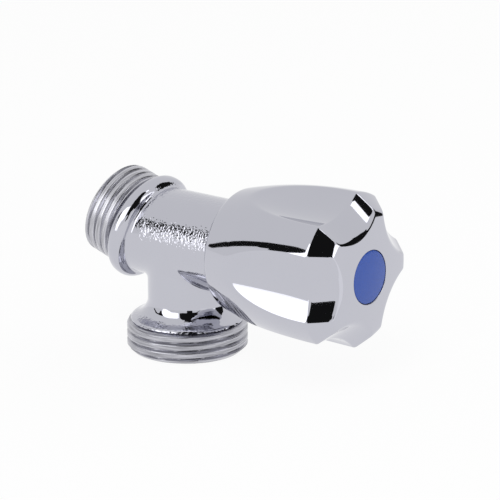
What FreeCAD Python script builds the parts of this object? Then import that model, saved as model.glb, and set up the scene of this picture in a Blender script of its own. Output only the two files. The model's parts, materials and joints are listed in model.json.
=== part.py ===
"""Angled stop valve for a washing machine: cast body, screw-down headwork and a star handle.

Units are millimetres. The origin is the centre of the outlet's end face and +Z points up,
so the valve stands on its outlet. The handle points towards -Y and the inlet towards +Y.
"""
import FreeCAD
import Part
import math
import os

Vector = FreeCAD.Vector
Placement = FreeCAD.Placement
Rotation = FreeCAD.Rotation

# Three axes meet in the body. Heights along the outlet run up from its end face,
# places along the headwork run from the outlet's axis out to the handle,
# and places along the inlet run from the bend out to its end.
INLET_BEND = 9.4
INLET_TILT_DEG = 17.6
INLET_LENGTH = 11.13

# Cast body
BARREL_WALL = 1.47
BARREL_FRONT = 18.0
NECK_WALL = 3.1
NECK_LENGTH = 6.4
NECK_CHAMFER = 1.3
OUTLET_THREAD_RADIUS = 13.22
OUTLET_THREAD_LENGTH = 6.65
OUTLET_CHAMFER = 1.0
OUTLET_SHOULDER_INSET = 0.62
OUTLET_SHOULDER_THICKNESS = 0.45
OUTLET_SHOULDER_ROUND = 0.8
OUTLET_FLARE_HEIGHT = 1.6
OUTLET_FLARE_ROUND = 3.0
OUTLET_MOUTH_RADIUS = 8.5
OUTLET_MOUTH_DEPTH = 6.0
OUTLET_CONE = 3.0
OUTLET_BORE_RADIUS = 5.5
INLET_THREAD_RADIUS = 10.478
INLET_THREAD_LENGTH = 7.0
INLET_CHAMFER = 0.5
INLET_UNDERCUT_RADIUS = 9.3
INLET_BORE_RADIUS = 6.6
INLET_BORE_END = 0.2
COLLAR_HEIGHT = 2.2
COLLAR_START = -0.6
COLLAR_WIDTH = 4.0
COLLAR_ROUND = 1.6

# Chamber, seat and headwork thread inside the barrel
CHAMBER_STEP = 0.93
CHAMBER_REAR_MARGIN = 0.4
CHAMBER_FRONT = 6.8
SEAT_LIP_WALL = 1.2
SEAT_LIP = -3.5
HEADWORK_THREAD_RADIUS = 8.33
THREAD_CLEARANCE = 0.05
GASKET_THICKNESS = 1.0

# Bonnet
BONNET_NOSE = 6.0
BONNET_NOSE_STEP = 1.13
BONNET_NOSE_WALL = 0.7
BONNET_THREAD_START = 8.0
BONNET_CORNER_SETBACK = 0.04
BONNET_HEX_LENGTH = 5.0
BONNET_HEX_CHAMFER = 0.6
BONNET_NECK_RADIUS = 6.3
BONNET_NECK_LENGTH = 9.0

# Piston with its seat washer
LIFT = 3.75
RUNNING_CLEARANCE = 0.05
END_CLEARANCE = 0.3
SEAT_GAP = 0.02
WASHER_THICKNESS = 3.0
WASHER_OVER_SEAT = 1.6
WASHER_SHOWING = 1.4
PISTON_CUP_PLAY = 0.45
PISTON_CUP_WALL = 0.8
PISTON_WEB = 1.8
PISTON_FLOOR = 4.8
PISTON_SKIRT_END = 8.6
PISTON_HEX_SETBACK = 0.1
PISTON_END = 16.0
WASHER_SCREW_RADIUS = 1.5
WASHER_SCREW_HEAD_RADIUS = 2.6
WASHER_SCREW_HEAD_HEIGHT = 1.5
WASHER_DISC_SETBACK = 0.9
WASHER_DISC_THICKNESS = 0.5

# Seal rings
RING_SECTION = 1.5
RING_SQUEEZE = 0.05
RING_GROOVE_PLAY = 0.15
PISTON_RING_PLACE = 7.4

# Spindle
SPINDLE_RADIUS = 4.0
SPINDLE_COLLAR_RADIUS = 5.4
SPINDLE_COLLAR_THICKNESS = 1.5
THRUST_RING_THICKNESS = 0.85
SPINDLE_RING_PITCH = 3.4
SPINDLE_RING_SETBACK = 3.0
SLIP_WASHER_RADIUS = 5.8
SLIP_WASHER_THICKNESS = 0.5
CIRCLIP_RADIUS = 5.2
CIRCLIP_THICKNESS = 0.8
CIRCLIP_GROOVE_RADIUS = 3.45
CIRCLIP_OPENING_DEG = 70.0
SPLINE_TEETH = 18
SPLINE_RADIUS = 3.85
SPLINE_ROOT_RADIUS = 3.35
SPLINE_LENGTH = 6.2
SPLINE_CLEARANCE = 0.05
SPLINE_LAND = 0.35
SPINDLE_SHOULDER_GAP = 0.6

# Star handle
LOBES = 5
HANDLE_OVER_BARREL = 3.0
HANDLE_REAR_ROUND = 1.2
HANDLE_BOW_RADIUS = 97.0
HANDLE_WIDEST_SETBACK = 1.6
BAND_LENGTH = 4.0
BAND_DROP = 3.25
HANDLE_NOSE_LENGTH = 4.6
HANDLE_FACE_DOME = 1.1
HANDLE_RIM_CHAMFER = 0.4
FLUTE_RADIUS = 15.5
FLUTE_DEPTH = 3.15
FLUTE_BOW_RADIUS = 159.0
FLUTE_DEEPEST_SETBACK = 3.6
BAND_CREASE_FLUTE_RADIUS = 16.0
BAND_RIM_FLUTE_RADIUS = 14.0
BAND_RIM_FLUTE_DEPTH = 3.5
FACE_LAND = 4.48
BAND_REACH = 2.5
SKIRT_GAP = 1.25
HANDLE_WALL = 1.6
CAVITY_TAPER = 5.0
CAVITY_PAST_BUSH = 1.6
BOSS_WALL = 1.0
RIB_THICKNESS = 1.4
RIB_LENGTH = 5.0
BUSH_WIDTH = 11.0
SOCKET_CLEARANCE = 0.05

# Handle screw and index cap
SCREW_RADIUS = 2.0
SCREW_HEAD_RADIUS = 3.4
SCREW_HEAD_HEIGHT = 2.0
SCREW_GRIP = 6.0
SCREW_SEAT_THICKNESS = 1.6
SCREW_WELL_PLAY = 0.7
SCREW_SLOT_WIDTH = 0.9
SCREW_SLOT_DEPTH = 0.8
LOCK_WASHER_THICKNESS = 0.7
LOCK_WASHER_RADIUS = 3.7
CAP_RADIUS = 5.62
CAP_CLEARANCE = 0.1
CAP_STANDING = 0.8
CAP_THICKNESS = 2.1
CAP_RISE = 0.35
CAP_SKIRT_DEPTH = 1.4
CAP_SKIRT_WALL = 0.5

# Sizes and places that follow from the ones above
BARREL_RADIUS = HEADWORK_THREAD_RADIUS + THREAD_CLEARANCE + BARREL_WALL
NECK_RADIUS = OUTLET_BORE_RADIUS + NECK_WALL
OUTLET_SHOULDER_RADIUS = OUTLET_THREAD_RADIUS - OUTLET_SHOULDER_INSET
OUTLET_SHOULDER_TOP = OUTLET_THREAD_LENGTH + OUTLET_SHOULDER_THICKNESS
NECK_START = OUTLET_SHOULDER_TOP + OUTLET_FLARE_HEIGHT
HANDLE_AXIS_HEIGHT = NECK_START + NECK_LENGTH + BARREL_RADIUS
COLLAR_RADIUS = BARREL_RADIUS + COLLAR_HEIGHT
COLLAR_END = COLLAR_START + COLLAR_WIDTH
CHAMBER_RADIUS = HEADWORK_THREAD_RADIUS - CHAMBER_STEP
CHAMBER_BACK = -OUTLET_BORE_RADIUS - CHAMBER_REAR_MARGIN
PISTON_CUP_RADIUS = CHAMBER_RADIUS - PISTON_CUP_PLAY
WASHER_RADIUS = PISTON_CUP_RADIUS - PISTON_CUP_WALL - RUNNING_CLEARANCE
SEAT_RADIUS = WASHER_RADIUS - WASHER_OVER_SEAT
SEAT_LIP_RADIUS = SEAT_RADIUS + SEAT_LIP_WALL
WASHER_DISC_RADIUS = SEAT_RADIUS - WASHER_DISC_SETBACK
BONNET_NOSE_RADIUS = HEADWORK_THREAD_RADIUS - BONNET_NOSE_STEP
PISTON_SKIRT_RADIUS = BONNET_NOSE_RADIUS - BONNET_NOSE_WALL - RUNNING_CLEARANCE
PISTON_HEX_WIDTH = 2 * (PISTON_SKIRT_RADIUS - PISTON_HEX_SETBACK) * math.cos(math.pi / 6)
BONNET_HEX_WIDTH = 2 * (BARREL_RADIUS - BONNET_CORNER_SETBACK) * math.cos(math.pi / 6)
GASKET_FRONT = BARREL_FRONT + GASKET_THICKNESS
HEX_FRONT = GASKET_FRONT + BONNET_HEX_LENGTH
BONNET_FRONT = HEX_FRONT + BONNET_NECK_LENGTH
WASHER_BACK = SEAT_LIP + SEAT_GAP
WASHER_FRONT = WASHER_BACK + WASHER_THICKNESS
PISTON_BORE_START = WASHER_FRONT + PISTON_FLOOR
PISTON_ROUND_BORE_RADIUS = PISTON_SKIRT_RADIUS + RUNNING_CLEARANCE
PISTON_ROUND_BORE_END = PISTON_SKIRT_END + LIFT + END_CLEARANCE / 2
COLLAR_BACK = PISTON_END + LIFT + END_CLEARANCE
COLLAR_FRONT = COLLAR_BACK + SPINDLE_COLLAR_THICKNESS
THRUST_SHOULDER = COLLAR_FRONT + THRUST_RING_THICKNESS
SPINDLE_NOSE = PISTON_BORE_START + LIFT + END_CLEARANCE
SLIP_WASHER_FRONT = BONNET_FRONT + SLIP_WASHER_THICKNESS
CIRCLIP_FRONT = SLIP_WASHER_FRONT + CIRCLIP_THICKNESS
SPINDLE_SHOULDER = CIRCLIP_FRONT + SPINDLE_SHOULDER_GAP
SPINDLE_FRONT = SPINDLE_SHOULDER + SPLINE_LENGTH
BUSH_FRONT = SPINDLE_FRONT + END_CLEARANCE
SCREW_SEAT = BUSH_FRONT + SCREW_SEAT_THICKNESS
SCREW_HEAD_BACK = SCREW_SEAT + LOCK_WASHER_THICKNESS
SCREW_WELL_RADIUS = LOCK_WASHER_RADIUS + SCREW_WELL_PLAY
HANDLE_REAR = BARREL_FRONT - HANDLE_OVER_BARREL
HANDLE_RIM = SCREW_SEAT + HANDLE_NOSE_LENGTH
HANDLE_CREASE = HANDLE_RIM - BAND_LENGTH
HANDLE_WIDEST = HANDLE_CREASE - HANDLE_WIDEST_SETBACK
BAND_RIM_FLUTE_FLOOR = CAP_RADIUS + CAP_CLEARANCE + FACE_LAND
HANDLE_RIM_RADIUS = BAND_RIM_FLUTE_FLOOR + BAND_RIM_FLUTE_DEPTH
HANDLE_RADIUS = HANDLE_RIM_RADIUS + BAND_DROP
FLUTE_DEEPEST = HANDLE_CREASE - FLUTE_DEEPEST_SETBACK
FLUTE_FLOOR = HANDLE_RADIUS - FLUTE_DEPTH
SKIRT_RADIUS = BARREL_RADIUS + SKIRT_GAP
CAVITY_RADIUS = FLUTE_FLOOR - HANDLE_WALL
CAVITY_END = BUSH_FRONT + CAVITY_PAST_BUSH
BOSS_RADIUS = (BUSH_WIDTH / 2 + SOCKET_CLEARANCE) / math.cos(math.pi / 6) + BOSS_WALL
CAP_EDGE = HANDLE_RIM + CAP_STANDING
CAP_CENTRE = CAP_EDGE + CAP_RISE
CAP_RECESS_FLOOR = CAP_EDGE - CAP_THICKNESS

# Two places closer than this are the same place
TOUCH = 1e-4

# Turned rounds, domes, the handle's bow and the seal rings have few sides, to keep facets few
ROUND_SIDES = 3
DOME_SIDES = 3
BOW_SIDES = 7
SEAL_SIDES = 8

OUTLET = Placement()
HEADWORK = Placement(Vector(0, 0, HANDLE_AXIS_HEIGHT), Rotation(Vector(0, 0, 1), Vector(0, -1, 0)))
INLET_DIRECTION = Vector(
    0, math.cos(math.radians(INLET_TILT_DEG)), math.sin(math.radians(INLET_TILT_DEG)))
INLET = Placement(
    Vector(0, INLET_BEND, HANDLE_AXIS_HEIGHT), Rotation(Vector(0, 0, 1), INLET_DIRECTION))


def on_axis(shape, axis):
    """The shape moved from the Z axis to one of the valve's three axes."""
    moved = shape.copy()
    moved.Placement = axis.multiply(shape.Placement)
    return moved


def turned(corners):
    """A solid turned about Z from (place along the axis, radius) corners."""
    points = [Vector(radius, 0, place) for place, radius in corners]
    face = Part.Face(Part.makePolygon(points + points[:1]))
    return face.revolve(Vector(0, 0, 0), Vector(0, 0, 1), 360)


def rounded(before, corner, after, radius):
    """A profile's corner as the short sides of a round, no longer than its neighbours allow."""
    before, corner, after = (Vector(place, away, 0) for place, away in (before, corner, after))
    back, ahead = before - corner, after - corner
    half_angle = back.getAngle(ahead) / 2
    reach = min(radius / math.tan(half_angle), back.Length, ahead.Length)
    back, ahead = back.normalize(), ahead.normalize()
    middle = corner + (back + ahead).normalize() * (reach / math.cos(half_angle))
    start, end = corner + back * reach - middle, corner + ahead * reach - middle
    sweep = start.getAngle(end)
    points = []
    for side in range(ROUND_SIDES + 1):
        angle = sweep * side / ROUND_SIDES
        spoke = (start * math.sin(sweep - angle) + end * math.sin(angle)) * (1 / math.sin(sweep))
        points.append((middle.x + spoke.x, middle.y + spoke.y))
    return points


def domed(rim, edge, rise):
    """A shallow dome's profile, from its edge at the place rim up to its middle."""
    ball = (edge ** 2 + rise ** 2) / (2 * rise)
    points = []
    for side in range(DOME_SIDES + 1):
        radius = edge * (1 - side / DOME_SIDES)
        points.append((rim + rise - ball + math.sqrt(ball ** 2 - radius ** 2), radius))
    return points


def rod(start, end, radius):
    return Part.makeCylinder(radius, end - start, Vector(0, 0, start))


def ring(start, end, inner, outer):
    return rod(start, end, outer).cut(rod(start, end, inner))


def hexagon(start, end, width):
    """A hexagonal bar, with its width measured across the flats."""
    corner = width / 2 / math.cos(math.pi / 6)
    points = [Vector(corner * math.cos(math.radians(60 * i)),
                     corner * math.sin(math.radians(60 * i)), start) for i in range(7)]
    return Part.Face(Part.makePolygon(points)).extrude(Vector(0, 0, end - start))


def spline_bar(start, end, tip, root):
    """A bar with straight-sided teeth, half tooth and half gap at each pitch."""
    points = []
    for half_pitch in range(2 * SPLINE_TEETH):
        radius = tip if half_pitch % 2 else root
        for share in (0, 2 * SPLINE_LAND):
            angle = (half_pitch + share) * math.pi / SPLINE_TEETH
            points.append(Vector(radius * math.cos(angle), radius * math.sin(angle), start))
    return Part.Face(Part.makePolygon(points + points[:1])).extrude(Vector(0, 0, end - start))


def seal_ring(place, outer):
    """A seal ring with flats where it bears on its groove and its bore."""
    reach = RING_SECTION / 2 / math.cos(math.pi / SEAL_SIDES)
    corners = []
    for side in range(SEAL_SIDES):
        angle = (side + 0.5) * 2 * math.pi / SEAL_SIDES
        corners.append((place + reach * math.sin(angle),
                        outer - RING_SECTION / 2 + reach * math.cos(angle)))
    return turned(corners)


def ring_groove(place, outer):
    """The cutter for a seal ring's groove in a shaft of the given radius."""
    half = RING_SECTION / 2 + RING_GROOVE_PLAY
    return ring(place - half, place + half, outer - RING_SECTION - RING_SQUEEZE, outer + RING_SECTION)


def outlet_outside():
    """Neck, flared shoulder and threaded end, turned about the outlet's axis."""
    thread_top = (OUTLET_THREAD_LENGTH, OUTLET_SHOULDER_RADIUS)
    shoulder = (OUTLET_SHOULDER_TOP, OUTLET_SHOULDER_RADIUS)
    neck = (NECK_START, NECK_RADIUS)
    slope = ((shoulder[0] + neck[0]) / 2, (shoulder[1] + neck[1]) / 2)
    top = (HANDLE_AXIS_HEIGHT, NECK_RADIUS)
    return turned([
        (0, 0),
        (0, OUTLET_THREAD_RADIUS - OUTLET_CHAMFER),
        (OUTLET_CHAMFER, OUTLET_THREAD_RADIUS),
        (OUTLET_THREAD_LENGTH, OUTLET_THREAD_RADIUS),
        thread_top,
        *rounded(thread_top, shoulder, slope, OUTLET_SHOULDER_ROUND),
        *rounded(slope, neck, top, OUTLET_FLARE_ROUND),
        top,
        (HANDLE_AXIS_HEIGHT, 0)])


def inlet_outside():
    """Collar and threaded end, turned about the inlet's axis."""
    thread_start = INLET_LENGTH - INLET_THREAD_LENGTH
    foot = (COLLAR_START, BARREL_RADIUS)
    front = (COLLAR_START, COLLAR_RADIUS)
    back = (COLLAR_END, COLLAR_RADIUS)
    groove = (COLLAR_END, INLET_UNDERCUT_RADIUS)
    return turned([
        (COLLAR_START, 0),
        foot,
        *rounded(foot, front, back, COLLAR_ROUND),
        *rounded(front, back, groove, COLLAR_ROUND),
        groove,
        (thread_start, INLET_UNDERCUT_RADIUS),
        (thread_start, INLET_THREAD_RADIUS),
        (INLET_LENGTH - INLET_CHAMFER, INLET_THREAD_RADIUS),
        (INLET_LENGTH, INLET_THREAD_RADIUS - INLET_CHAMFER),
        (INLET_LENGTH, 0)])


def waterways():
    """Everything that is hollow in the body, from the inlet to the outlet and the headwork."""
    chamber = turned([
        (CHAMBER_BACK, 0),
        (CHAMBER_BACK, CHAMBER_RADIUS),
        (CHAMBER_FRONT, CHAMBER_RADIUS),
        (CHAMBER_FRONT, HEADWORK_THREAD_RADIUS + THREAD_CLEARANCE),
        (BARREL_FRONT, HEADWORK_THREAD_RADIUS + THREAD_CLEARANCE),
        (BARREL_FRONT, 0)])
    chamber = chamber.cut(rod(CHAMBER_BACK, SEAT_LIP, SEAT_LIP_RADIUS))
    orifice = rod(-INLET_BEND - INLET_BORE_END, SEAT_LIP, SEAT_RADIUS)
    inlet = turned([
        (INLET_BORE_END - SEAT_RADIUS / 2, 0),
        (INLET_BORE_END, INLET_BORE_RADIUS),
        (INLET_LENGTH, INLET_BORE_RADIUS),
        (INLET_LENGTH, 0)])
    outlet_top = HANDLE_AXIS_HEIGHT - SEAT_LIP_RADIUS - END_CLEARANCE
    outlet = turned([
        (0, 0),
        (0, OUTLET_MOUTH_RADIUS),
        (OUTLET_MOUTH_DEPTH, OUTLET_MOUTH_RADIUS),
        (OUTLET_MOUTH_DEPTH + OUTLET_CONE, OUTLET_BORE_RADIUS),
        (outlet_top, OUTLET_BORE_RADIUS),
        (outlet_top, 0)])
    headwork_side = on_axis(chamber.fuse(orifice), HEADWORK)
    return headwork_side.fuse([on_axis(inlet, INLET), on_axis(outlet, OUTLET)])


def valve_body():
    barrel_back = INLET_BEND + COLLAR_END + BARREL_RADIUS
    barrel = on_axis(rod(-barrel_back, BARREL_FRONT, BARREL_RADIUS), HEADWORK)
    casting = barrel.fuse(on_axis(outlet_outside(), OUTLET))
    joint = [edge for edge in casting.Edges
             if edge.BoundBox.ZMax < HANDLE_AXIS_HEIGHT
             and edge.BoundBox.ZMin > NECK_START and edge.BoundBox.ZLength > TOUCH
             and edge.BoundBox.YLength > NECK_RADIUS]
    casting = casting.makeChamfer(NECK_CHAMFER, joint)
    collar_middle = (COLLAR_START + COLLAR_END) / 2
    behind = Part.makeBox(
        4 * BARREL_RADIUS, 4 * BARREL_RADIUS, 4 * BARREL_RADIUS,
        Vector(-2 * BARREL_RADIUS, -2 * BARREL_RADIUS, collar_middle))
    casting = casting.cut(on_axis(behind, INLET))
    casting = casting.fuse(on_axis(inlet_outside(), INLET))
    return casting.cut(waterways()).removeSplitter()


def bonnet():
    thread = turned([
        (BONNET_NOSE, 0),
        (BONNET_NOSE, BONNET_NOSE_RADIUS),
        (BONNET_THREAD_START, BONNET_NOSE_RADIUS),
        (BONNET_THREAD_START, HEADWORK_THREAD_RADIUS),
        (GASKET_FRONT, HEADWORK_THREAD_RADIUS),
        (GASKET_FRONT, 0)])
    corner = BONNET_HEX_WIDTH / 2 / math.cos(math.pi / 6)
    chamfers = turned([
        (GASKET_FRONT, 0),
        (GASKET_FRONT, corner - BONNET_HEX_CHAMFER),
        (GASKET_FRONT + BONNET_HEX_CHAMFER / 2, corner),
        (HEX_FRONT - BONNET_HEX_CHAMFER / 2, corner),
        (HEX_FRONT, corner - BONNET_HEX_CHAMFER),
        (HEX_FRONT, 0)])
    flange = hexagon(GASKET_FRONT, HEX_FRONT, BONNET_HEX_WIDTH).common(chamfers)
    neck = rod(HEX_FRONT, BONNET_FRONT, BONNET_NECK_RADIUS)
    solid = thread.fuse([flange, neck])
    solid = solid.cut(rod(BONNET_NOSE, PISTON_ROUND_BORE_END, PISTON_ROUND_BORE_RADIUS))
    solid = solid.cut(hexagon(
        PISTON_ROUND_BORE_END, THRUST_SHOULDER, PISTON_HEX_WIDTH + 2 * RUNNING_CLEARANCE))
    return solid.cut(rod(THRUST_SHOULDER, BONNET_FRONT, SPINDLE_RADIUS + RUNNING_CLEARANCE))


def bonnet_gasket():
    return ring(BARREL_FRONT, GASKET_FRONT, HEADWORK_THREAD_RADIUS + THREAD_CLEARANCE, BARREL_RADIUS)


def piston():
    """Washer cup and skirt in one piece, with the hexagonal shank that keeps it from turning."""
    cup = turned([
        (WASHER_BACK + WASHER_SHOWING, WASHER_RADIUS + RUNNING_CLEARANCE),
        (WASHER_BACK + WASHER_SHOWING, PISTON_CUP_RADIUS),
        (WASHER_FRONT + PISTON_WEB, PISTON_CUP_RADIUS),
        (WASHER_FRONT + PISTON_WEB, 0),
        (WASHER_FRONT, 0),
        (WASHER_FRONT, WASHER_RADIUS + RUNNING_CLEARANCE)])
    skirt = rod(WASHER_FRONT + PISTON_WEB, PISTON_SKIRT_END, PISTON_SKIRT_RADIUS)
    shank = hexagon(PISTON_SKIRT_END, PISTON_END, PISTON_HEX_WIDTH)
    solid = cup.fuse([skirt, shank])
    solid = solid.cut(ring_groove(PISTON_RING_PLACE, PISTON_SKIRT_RADIUS))
    solid = solid.cut(rod(PISTON_BORE_START, PISTON_END, SPINDLE_RADIUS + RUNNING_CLEARANCE))
    return solid.cut(rod(WASHER_FRONT, PISTON_BORE_START, WASHER_SCREW_RADIUS))


def piston_o_ring():
    return seal_ring(PISTON_RING_PLACE, PISTON_SKIRT_RADIUS)


def seat_washer():
    return ring(WASHER_BACK, WASHER_FRONT, WASHER_SCREW_RADIUS + RUNNING_CLEARANCE, WASHER_RADIUS)


def washer_disc():
    return ring(WASHER_BACK - WASHER_DISC_THICKNESS, WASHER_BACK,
                WASHER_SCREW_RADIUS + RUNNING_CLEARANCE, WASHER_DISC_RADIUS)


def washer_screw():
    head_front = WASHER_BACK - WASHER_DISC_THICKNESS
    head = rod(head_front - WASHER_SCREW_HEAD_HEIGHT, head_front, WASHER_SCREW_HEAD_RADIUS)
    return head.fuse(rod(head_front, PISTON_BORE_START, WASHER_SCREW_RADIUS))


def spindle():
    """Left-hand lifting screw, thrust collar, sealed shaft and splined end."""
    solid = turned([
        (SPINDLE_NOSE, 0),
        (SPINDLE_NOSE, SPINDLE_RADIUS),
        (COLLAR_BACK, SPINDLE_RADIUS),
        (COLLAR_BACK, SPINDLE_COLLAR_RADIUS),
        (COLLAR_FRONT, SPINDLE_COLLAR_RADIUS),
        (COLLAR_FRONT, SPINDLE_RADIUS),
        (SLIP_WASHER_FRONT, SPINDLE_RADIUS),
        (SLIP_WASHER_FRONT, CIRCLIP_GROOVE_RADIUS),
        (CIRCLIP_FRONT, CIRCLIP_GROOVE_RADIUS),
        (CIRCLIP_FRONT, SPINDLE_RADIUS),
        (SPINDLE_SHOULDER, SPINDLE_RADIUS),
        (SPINDLE_SHOULDER, 0)])
    solid = solid.fuse(
        spline_bar(SPINDLE_SHOULDER, SPINDLE_FRONT, SPLINE_RADIUS, SPLINE_ROOT_RADIUS))
    for place in spindle_ring_places():
        solid = solid.cut(ring_groove(place, SPINDLE_RADIUS))
    return solid.cut(rod(SPINDLE_FRONT - SCREW_GRIP, SPINDLE_FRONT, SCREW_RADIUS))


def spindle_ring_places():
    outer = BONNET_FRONT - SPINDLE_RING_SETBACK
    return [outer - SPINDLE_RING_PITCH, outer]


def thrust_ring():
    return ring(COLLAR_FRONT, THRUST_SHOULDER, SPINDLE_RADIUS + RUNNING_CLEARANCE,
                SPINDLE_COLLAR_RADIUS)


def slip_washer():
    return ring(BONNET_FRONT, SLIP_WASHER_FRONT, SPINDLE_RADIUS + RUNNING_CLEARANCE,
                SLIP_WASHER_RADIUS)


def spindle_circlip():
    """An open spring ring in the spindle's groove."""
    solid = ring(SLIP_WASHER_FRONT, CIRCLIP_FRONT, CIRCLIP_GROOVE_RADIUS, CIRCLIP_RADIUS)
    opening = Part.makeCylinder(
        2 * CIRCLIP_RADIUS, CIRCLIP_THICKNESS, Vector(0, 0, SLIP_WASHER_FRONT),
        Vector(0, 0, 1), CIRCLIP_OPENING_DEG)
    return solid.cut(opening)


def bow_radius_at(place):
    """The handle's radius over a lobe, on the long bow from its rear rim to its crease."""
    sag = HANDLE_BOW_RADIUS - math.sqrt(HANDLE_BOW_RADIUS ** 2 - (HANDLE_WIDEST - place) ** 2)
    return HANDLE_RADIUS - sag


def handle_bell():
    """The handle's turned outside, before its flutes are cut."""
    span = HANDLE_CREASE - HANDLE_REAR
    places = [HANDLE_REAR + span * side / BOW_SIDES for side in range(BOW_SIDES + 1)]
    bow = [(place, bow_radius_at(place)) for place in places]
    skirt = (HANDLE_REAR, SKIRT_RADIUS)
    return turned([
        (HANDLE_REAR, 0),
        *rounded(skirt, bow[0], bow[1], HANDLE_REAR_ROUND),
        *bow[1:],
        *domed(HANDLE_RIM, HANDLE_RIM_RADIUS, HANDLE_FACE_DOME)])


def flute_cutters():
    """One long flute on the side and one that narrows across the front band, per gap."""
    hollow = Part.makeCircle(FLUTE_RADIUS, Vector(FLUTE_FLOOR + FLUTE_RADIUS, 0, FLUTE_DEEPEST))
    bow_centre = Vector(FLUTE_FLOOR + FLUTE_BOW_RADIUS, 0, FLUTE_DEEPEST)
    side = Part.Face(Part.Wire(hollow)).revolve(bow_centre, Vector(0, 1, 0), 360)
    reach = FLUTE_FLOOR + 2 * FLUTE_RADIUS
    window = Part.makeBox(reach, reach, HANDLE_RIM, Vector(0, -reach / 2, HANDLE_REAR))
    side = side.common(window)
    length = HANDLE_RIM - HANDLE_CREASE
    sections = []
    for place in (HANDLE_CREASE - BAND_REACH, HANDLE_RIM + BAND_REACH):
        share = (place - HANDLE_CREASE) / length
        floor = FLUTE_FLOOR + share * (BAND_RIM_FLUTE_FLOOR - FLUTE_FLOOR)
        radius = BAND_CREASE_FLUTE_RADIUS \
            + share * (BAND_RIM_FLUTE_RADIUS - BAND_CREASE_FLUTE_RADIUS)
        circle = Part.makeCircle(radius, Vector(floor + radius, 0, place))
        sections.append(Part.Wire(circle))
    band = Part.makeLoft(sections, True, True)
    cutters = []
    for lobe in range(LOBES):
        angle = (lobe + 0.5) * 360 / LOBES
        for tool in (side, band):
            cutters.append(tool.rotated(Vector(0, 0, 0), Vector(0, 0, 1), angle))
    return cutters


def rim_edges(shape):
    """The edges between the front face and the band around it."""
    inside = HANDLE_RIM - HANDLE_RIM_CHAMFER
    return [edge for edge in shape.Edges
            if edge.BoundBox.ZMin > inside and edge.BoundBox.ZLength < HANDLE_FACE_DOME
            and edge.CenterOfMass.x ** 2 + edge.CenterOfMass.y ** 2 > CAP_RADIUS ** 2]


def handle_shell():
    """Bell with flutes, hollow skirt, ribbed boss, screw well and recess for the cap."""
    solid = handle_bell()
    for cutter in flute_cutters():
        solid = solid.cut(cutter)
    solid = solid.makeChamfer(HANDLE_RIM_CHAMFER, rim_edges(solid))
    cavity = turned([
        (HANDLE_REAR, 0),
        (HANDLE_REAR, SKIRT_RADIUS),
        (HANDLE_REAR + CAVITY_TAPER, CAVITY_RADIUS),
        (CAVITY_END, CAVITY_RADIUS),
        (CAVITY_END, 0)])
    core = rod(SPINDLE_SHOULDER, CAVITY_END, BOSS_RADIUS)
    for lobe in range(LOBES):
        rib = Part.makeBox(
            CAVITY_RADIUS + RIB_THICKNESS, RIB_THICKNESS, RIB_LENGTH,
            Vector(0, -RIB_THICKNESS / 2, CAVITY_END - RIB_LENGTH))
        rib.rotate(Vector(0, 0, 0), Vector(0, 0, 1), lobe * 360 / LOBES)
        core = core.fuse(rib)
    solid = solid.cut(cavity.cut(core))
    solid = solid.cut(hexagon(SPINDLE_SHOULDER, BUSH_FRONT, BUSH_WIDTH + 2 * SOCKET_CLEARANCE))
    solid = solid.cut(rod(BUSH_FRONT, SCREW_SEAT, SCREW_RADIUS + SOCKET_CLEARANCE))
    solid = solid.cut(rod(SCREW_SEAT, CAP_RECESS_FLOOR, SCREW_WELL_RADIUS))
    front = HANDLE_RIM + HANDLE_FACE_DOME
    return solid.cut(rod(CAP_RECESS_FLOOR, front, CAP_RADIUS + CAP_CLEARANCE))


def spline_bush():
    socket = spline_bar(
        SPINDLE_SHOULDER, BUSH_FRONT, SPLINE_RADIUS + SPLINE_CLEARANCE,
        SPLINE_ROOT_RADIUS + SPLINE_CLEARANCE)
    return hexagon(SPINDLE_SHOULDER, BUSH_FRONT, BUSH_WIDTH).cut(socket)


def lock_washer():
    return ring(SCREW_SEAT, SCREW_HEAD_BACK, SCREW_RADIUS + SOCKET_CLEARANCE, LOCK_WASHER_RADIUS)


def handle_screw():
    head_front = SCREW_HEAD_BACK + SCREW_HEAD_HEIGHT
    head = rod(SCREW_HEAD_BACK, head_front, SCREW_HEAD_RADIUS)
    slot = Part.makeBox(
        2 * SCREW_HEAD_RADIUS, SCREW_SLOT_WIDTH, SCREW_SLOT_DEPTH,
        Vector(-SCREW_HEAD_RADIUS, -SCREW_SLOT_WIDTH / 2, head_front - SCREW_SLOT_DEPTH))
    shank = rod(SPINDLE_FRONT - SCREW_GRIP, SCREW_HEAD_BACK, SCREW_RADIUS)
    return head.cut(slot).fuse(shank)


def index_cap():
    """Domed button with the spring skirt that holds it in the screw well."""
    skirt_outer = SCREW_WELL_RADIUS - SOCKET_CLEARANCE
    skirt_inner = skirt_outer - CAP_SKIRT_WALL
    return turned([
        (CAP_RECESS_FLOOR, 0),
        (CAP_RECESS_FLOOR, skirt_inner),
        (CAP_RECESS_FLOOR - CAP_SKIRT_DEPTH, skirt_inner),
        (CAP_RECESS_FLOOR - CAP_SKIRT_DEPTH, skirt_outer),
        (CAP_RECESS_FLOOR, skirt_outer),
        (CAP_RECESS_FLOOR, CAP_RADIUS),
        *domed(CAP_EDGE, CAP_RADIUS, CAP_CENTRE - CAP_EDGE)])


def spindle_o_ring(place):
    return seal_ring(place, SPINDLE_RADIUS)


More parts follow.
